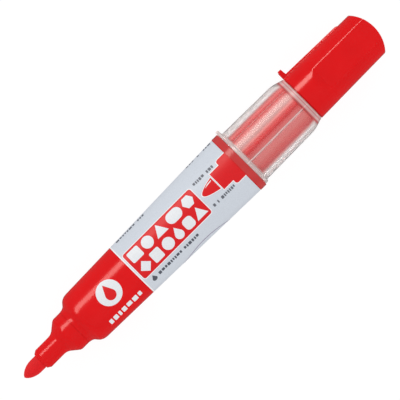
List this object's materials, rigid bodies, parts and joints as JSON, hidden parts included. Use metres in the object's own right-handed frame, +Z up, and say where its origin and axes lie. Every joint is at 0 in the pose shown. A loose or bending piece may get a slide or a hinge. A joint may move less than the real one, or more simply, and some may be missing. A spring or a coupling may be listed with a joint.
{
  "type": "whiteboard marker",
  "caption": "Refillable bullet-nib whiteboard marker with a screw-off clear tail over an ink cartridge, and its cap posted on the tail.",
  "frame": {"origin": "the middle of the foot of the whole object's box, with the pen lying on its rear ring and its cap posted", "axes": "+X along the pen from the nib to the cap's end, +Y to the side of the anti-roll lugs, +Z up, out of the middle of the printed label"},
  "size_m": [0.15, 0.0222, 0.0213],
  "materials": {
    "inked_felt": "matt pressed fibre soaked with red ink",
    "nose_red": "glossy moulded red",
    "barrel_red": "glossy moulded red",
    "printed_film": "pale blue-grey plastic film with printed panels",
    "relay_fibre": "matt bonded fibre",
    "natural_plastic": "satin milky natural plastic",
    "seal_rubber": "matt black rubber",
    "bottle_plastic": "translucent, tinted by the red ink inside",
    "clear_plastic": "clear polished plastic",
    "cap_red": "glossy moulded red",
    "liner_plastic": "soft satin natural plastic"
  },
  "bodies": {
    "barrel": {"nib": "inked_felt", "nose_cone": "nose_red", "barrel": "barrel_red", "label_film": "printed_film", "relay_core": "relay_fibre", "ink_collector": "natural_plastic", "feed_housing": "natural_plastic", "housing_o_ring": "seal_rubber", "connection_pipe": "natural_plastic", "mouth_seal": "seal_rubber"},
    "cartridge": {"cartridge_bottle": "bottle_plastic", "cartridge_mouth_plug": "natural_plastic"},
    "ball": {"stopper_ball": "natural_plastic"},
    "tail": {"tail_cover": "clear_plastic"},
    "cap": {"cap_shell": "cap_red", "cap_liner": "liner_plastic"}
  },
  "joints": [
    {"name": "cartridge_draw", "type": "slide", "parent": "barrel", "child": "cartridge", "axis": [1, 0, 0], "range_m": [0, 0.0076]},
    {"name": "tail_turn", "type": "hinge", "parent": "cartridge", "child": "tail", "pos_m": [0, -0.00038, 0.01063], "axis": [1, 0, 0], "range_deg": [0, 900]},
    {"name": "cap_pull", "type": "slide", "parent": "tail", "child": "cap", "axis": [1, 0, 0], "range_m": [0, 0.03]},
    {"name": "ball_roll", "type": "slide", "parent": "cartridge", "child": "ball", "axis": [1, 0, 0], "range_m": [-0.0015, 0.029]}
  ],
  "couplings": [
    {"joint": "cartridge_draw", "follows": "tail_turn", "m_per_rad": 0.00047746}
  ]
}
